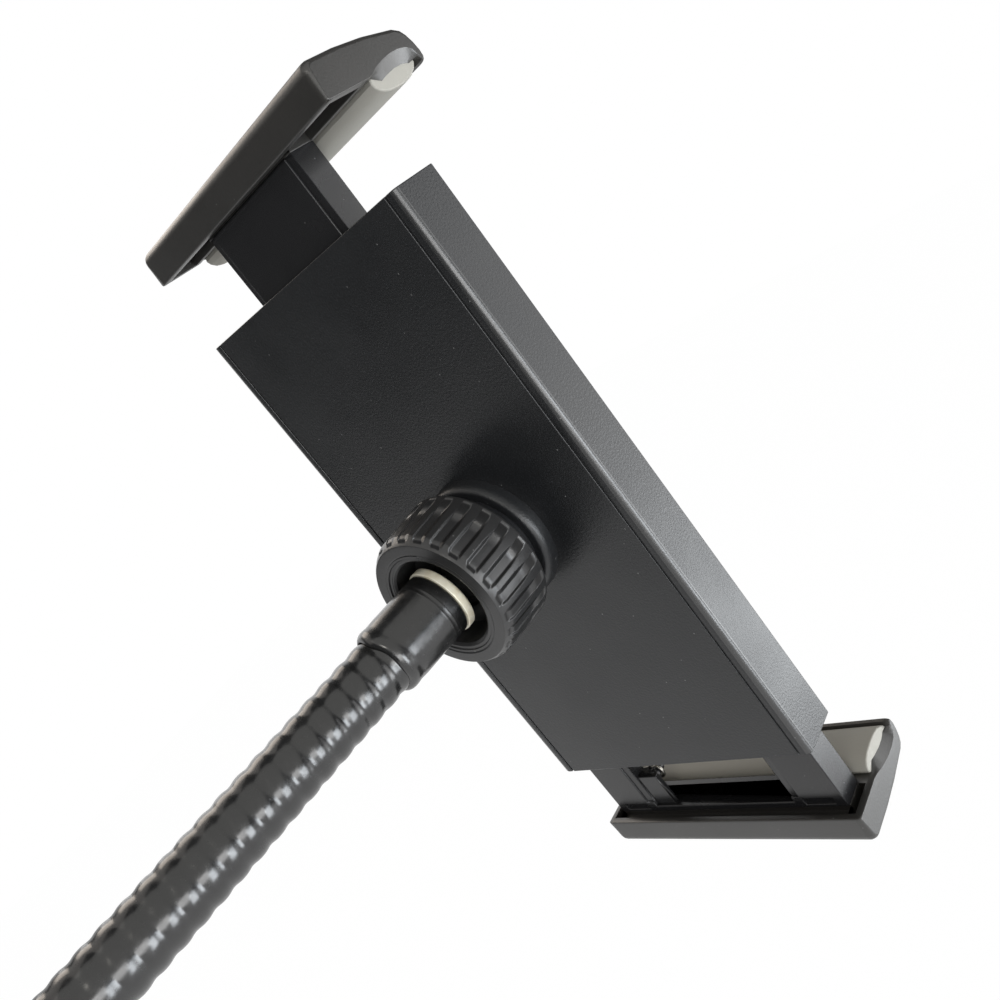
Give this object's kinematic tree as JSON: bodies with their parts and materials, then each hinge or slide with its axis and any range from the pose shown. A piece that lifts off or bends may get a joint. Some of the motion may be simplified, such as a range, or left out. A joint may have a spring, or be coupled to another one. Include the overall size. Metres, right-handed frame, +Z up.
{
  "type": "gooseneck phone mount",
  "caption": "Flexible gooseneck mount with a spring-loaded sliding clamp for a phone, a ball joint with a slotted lock nut and a threaded base stud.",
  "frame": {"origin": "middle of the base stud's shoulder, where the stud leaves its collar", "axes": "+Z up along the clamp towards the upper claw, +Y from the base along the neck towards the clamp, +X to the right seen from the base"},
  "size_m": [0.073, 0.3202, 0.1792],
  "materials": {
    "housing_black": "fine-grained matte",
    "slider_black": "matte",
    "claw_black": "soft-touch matte",
    "nut_black": "satin",
    "seat_plastic": "matte",
    "pad_grey": "matte",
    "pad_black": "matte",
    "zinc_steel": "yellow zinc plated",
    "spring_steel": "drawn",
    "screw_steel": "plated",
    "hose_black": "gloss",
    "shrink_black": "gloss"
  },
  "bodies": {
    "base": {"base_stud": "zinc_steel", "base_ferrule": "zinc_steel", "base_sleeve": "shrink_black", "hose_5": "hose_black"},
    "neck_4": {"hose_4": "hose_black"},
    "neck_3": {"hose_3": "hose_black"},
    "neck_2": {"hose_2": "hose_black"},
    "neck_top": {"hose_1": "hose_black", "top_ferrule": "zinc_steel", "top_sleeve": "shrink_black"},
    "ball": {"ball_stud": "zinc_steel"},
    "seat": {"ball_seat": "seat_plastic"},
    "head": {"back_housing": "housing_black", "front_cover": "slider_black", "front_pad": "pad_black", "cover_screws": "screw_steel", "upper_spring": "spring_steel", "lower_spring": "spring_steel"},
    "ring": {"pressure_ring": "seat_plastic"},
    "nut": {"lock_nut": "nut_black"},
    "upper_jaw": {"upper_slider": "slider_black", "upper_claw": "claw_black", "upper_pad": "pad_grey"},
    "lower_jaw": {"lower_slider": "slider_black", "lower_claw": "claw_black", "lower_pad": "pad_grey"}
  },
  "joints": [
    {"name": "neck_bend_4", "type": "hinge", "parent": "base", "child": "neck_4", "pos_m": [0, 0.0557, 0], "axis": [-0.9888, 0, -0.149], "range_deg": [-30, 30]},
    {"name": "neck_bend_3", "type": "hinge", "parent": "neck_4", "child": "neck_3", "pos_m": [0.0032, 0.106, 0.00048], "axis": [-0.149, 0, 0.9888], "range_deg": [-30, 30]},
    {"name": "neck_bend_2", "type": "hinge", "parent": "neck_3", "child": "neck_2", "pos_m": [0.0096, 0.15598, 0.00145], "axis": [-0.9807, 0.1283, -0.1478], "range_deg": [-30, 30]},
    {"name": "neck_bend_1", "type": "hinge", "parent": "neck_2", "child": "neck_top", "pos_m": [0.01916, 0.20544, 0.00289], "axis": [-0.149, 0, 0.9888], "range_deg": [-30, 30]},
    {"name": "stud_swivel", "type": "hinge", "parent": "neck_top", "child": "ball", "pos_m": [0.03043, 0.26374, 0.00459], "axis": [0.1897, 0.9814, 0.0286], "continuous": true},
    {"name": "head_tilt", "type": "hinge", "parent": "ball", "child": "seat", "pos_m": [0.03043, 0.26374, 0.00459], "axis": [-0.149, 0, 0.9888], "range_deg": [-24.5, 2.4]},
    {"name": "head_spin", "type": "hinge", "parent": "seat", "child": "head", "pos_m": [0.03043, 0.26374, 0.00459], "axis": [0, 1, 0], "continuous": true},
    {"name": "nut_travel", "type": "slide", "parent": "head", "child": "ring", "axis": [0, -1, 0], "range_m": [0, 0.00084]},
    {"name": "nut_turn", "type": "hinge", "parent": "ring", "child": "nut", "pos_m": [0.03043, 0.26374, 0.00459], "axis": [0, -1, 0], "range_deg": [0, 200]},
    {"name": "upper_slide", "type": "slide", "parent": "head", "child": "upper_jaw", "axis": [0, 0, 1], "range_m": [-0.0159, 0.022], "deforming": ["upper_spring"]},
    {"name": "lower_slide", "type": "slide", "parent": "head", "child": "lower_jaw", "axis": [0, 0, -1], "range_m": [-0.018, 0.022], "deforming": ["lower_spring"]}
  ],
  "couplings": [
    {"joint": "nut_travel", "follows": "nut_turn", "m_per_rad": 0.00023873}
  ]
}
